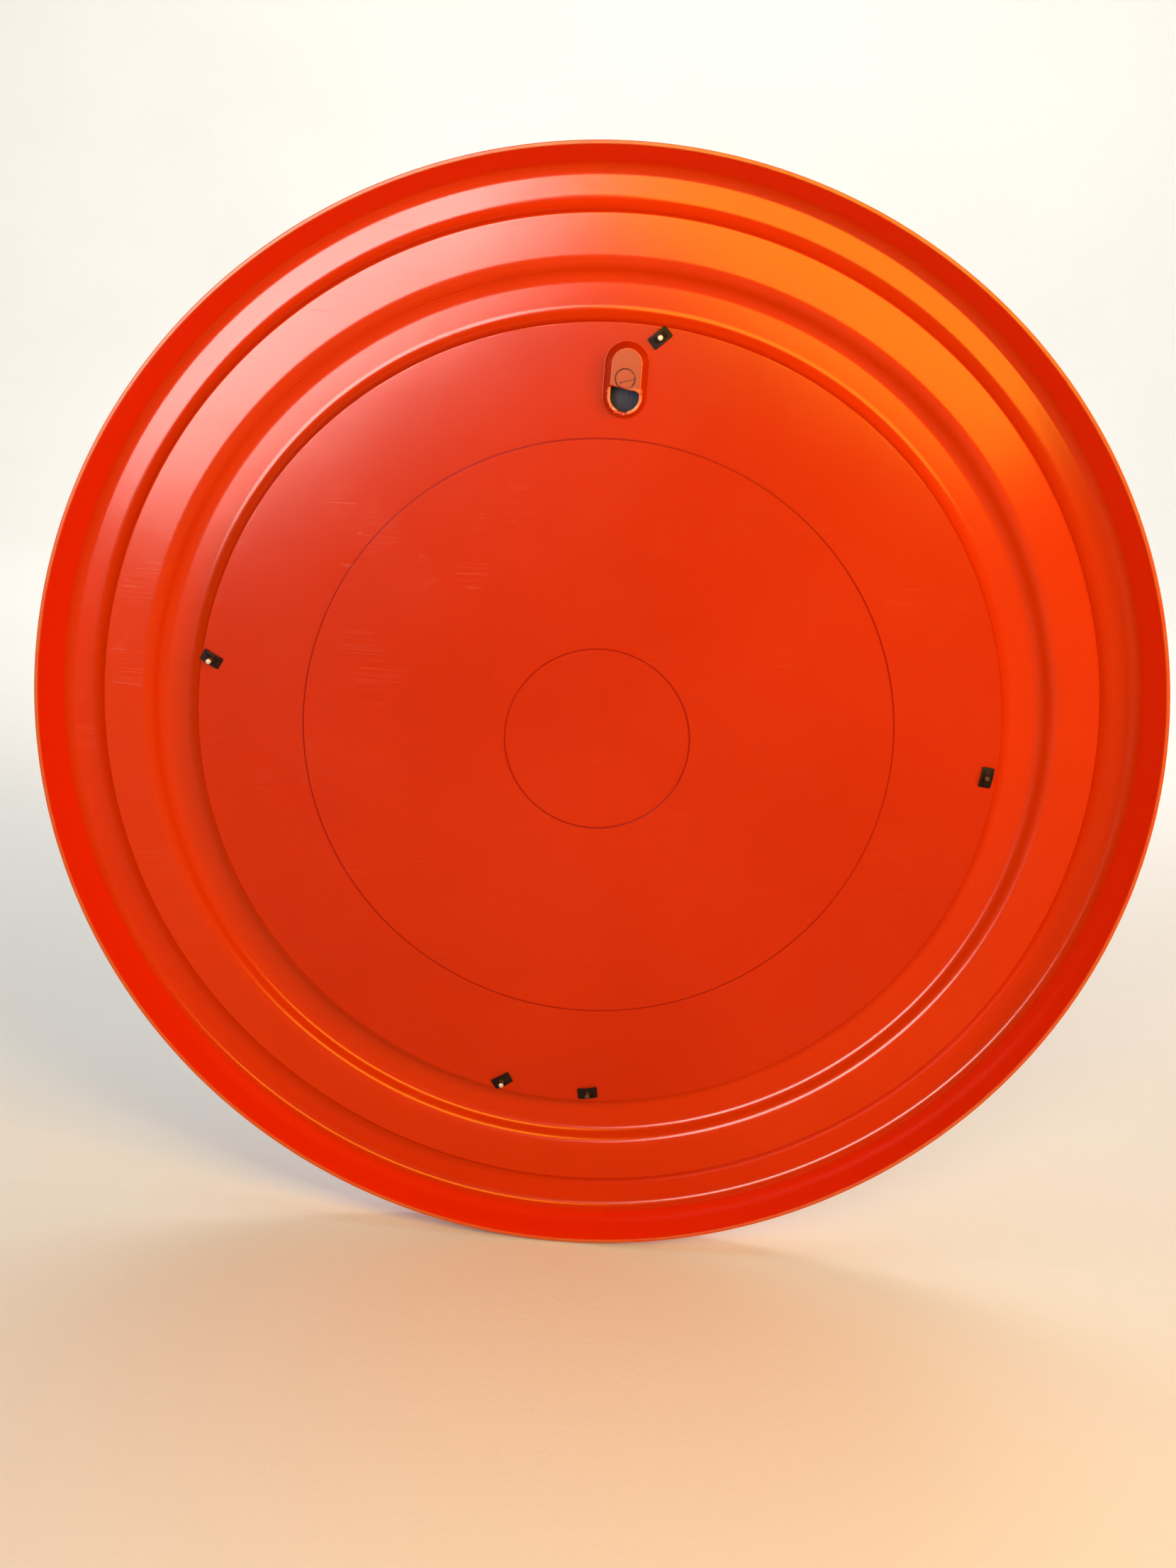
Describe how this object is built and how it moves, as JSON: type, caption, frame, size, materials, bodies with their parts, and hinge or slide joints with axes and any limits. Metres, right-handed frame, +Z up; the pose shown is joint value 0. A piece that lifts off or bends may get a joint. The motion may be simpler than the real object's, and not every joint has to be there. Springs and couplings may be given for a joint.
{
  "type": "round wall mirror",
  "caption": "Round wall mirror in a stepped moulded plastic frame with a hooded nail pocket; a trim ring with push-on retainers holds the glass.",
  "frame": {"origin": "the point where the nail bears on the lower edge of the hanger hood, in the plane of the hood's outer face", "axes": "upright as it hangs: +Z up through the hanger, +Y towards the wall, mirror face towards -Y, +X to the right as one faces the mirror"},
  "size_m": [0.5, 0.025, 0.5],
  "materials": {
    "orange_plastic": "satin injection-moulded polystyrene",
    "mirror": "silvered float glass with blue-grey back paint",
    "ring_metal": "bright rolled section",
    "stud_metal": "bright cut ends",
    "spring_steel": "black-brown phosphate spring sheet"
  },
  "bodies": {
    "root": {"back_shell": "orange_plastic", "mirror_glass": "mirror", "trim_ring": "ring_metal", "stud_top": "stud_metal", "stud_left": "stud_metal", "stud_bottom": "stud_metal", "stud_joint": "stud_metal", "stud_right": "stud_metal", "retainer_top": "spring_steel", "retainer_left": "spring_steel", "retainer_bottom": "spring_steel", "retainer_joint": "spring_steel", "retainer_right": "spring_steel"}
  },
  "joints": []
}
